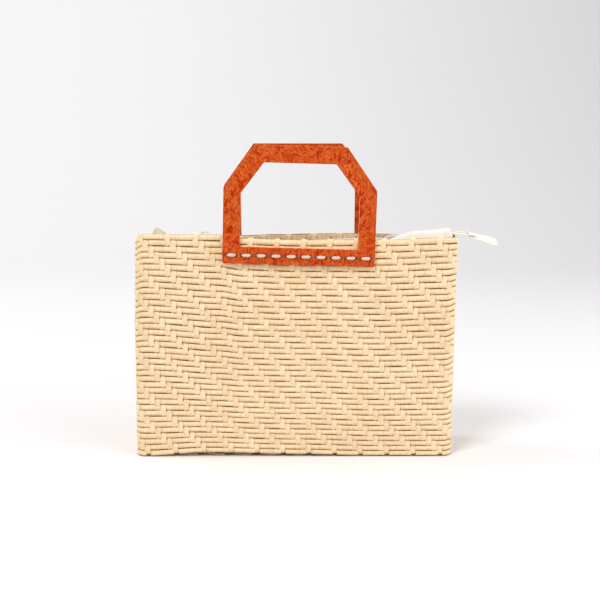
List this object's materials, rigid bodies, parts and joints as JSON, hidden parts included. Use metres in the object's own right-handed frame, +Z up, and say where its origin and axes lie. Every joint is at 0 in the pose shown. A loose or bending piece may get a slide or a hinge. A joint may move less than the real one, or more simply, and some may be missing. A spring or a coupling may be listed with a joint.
{
  "type": "basket box bag",
  "caption": "Rectangular box bag woven from pale reed, with two flat pierced plate handles, a white cotton lining and an open zip with a short tail.",
  "frame": {"origin": "centre of the flat base, on the surface that the bag stands on", "axes": "+X to the right as the front faces you, -Y out of the front wall, +Z up"},
  "size_m": [0.3609, 0.0718, 0.3146],
  "materials": {
    "woven_reed": "soft split reed, satin",
    "white_cotton": "plain cotton, matt",
    "marbled_resin": "marbled pearl resin, polished",
    "cotton_cord": "loosely twisted cotton, matt",
    "zip_tape": "woven tape, matt",
    "zip_coil": "nylon coil",
    "zip_metal": "plated die casting"
  },
  "bodies": {
    "bag": {"woven_basket": "woven_reed", "cotton_lining": "white_cotton", "front_handle": "marbled_resin", "back_handle": "marbled_resin", "front_handle_cord": "cotton_cord", "back_handle_cord": "cotton_cord", "front_zip_flap": "white_cotton", "back_zip_flap": "white_cotton", "front_zip_tape": "zip_tape", "back_zip_tape": "zip_tape", "front_zip_coil": "zip_coil", "back_zip_coil": "zip_coil", "front_top_stop": "zip_metal", "back_top_stop": "zip_metal", "zip_end_stop": "zip_metal", "zip_tail_tab": "white_cotton"},
    "slider": {"zip_slider": "zip_metal"},
    "puller": {"zip_puller": "zip_metal"}
  },
  "joints": [
    {"name": "zip_slide", "type": "slide", "parent": "bag", "child": "slider", "axis": [0.971, 0, 0.239], "range_m": [0, 0.04]},
    {"name": "puller_flip", "type": "hinge", "parent": "slider", "child": "puller", "pos_m": [0.09704, 0, 0.21952], "axis": [0, 1, 0], "range_deg": [0, 175]}
  ]
}
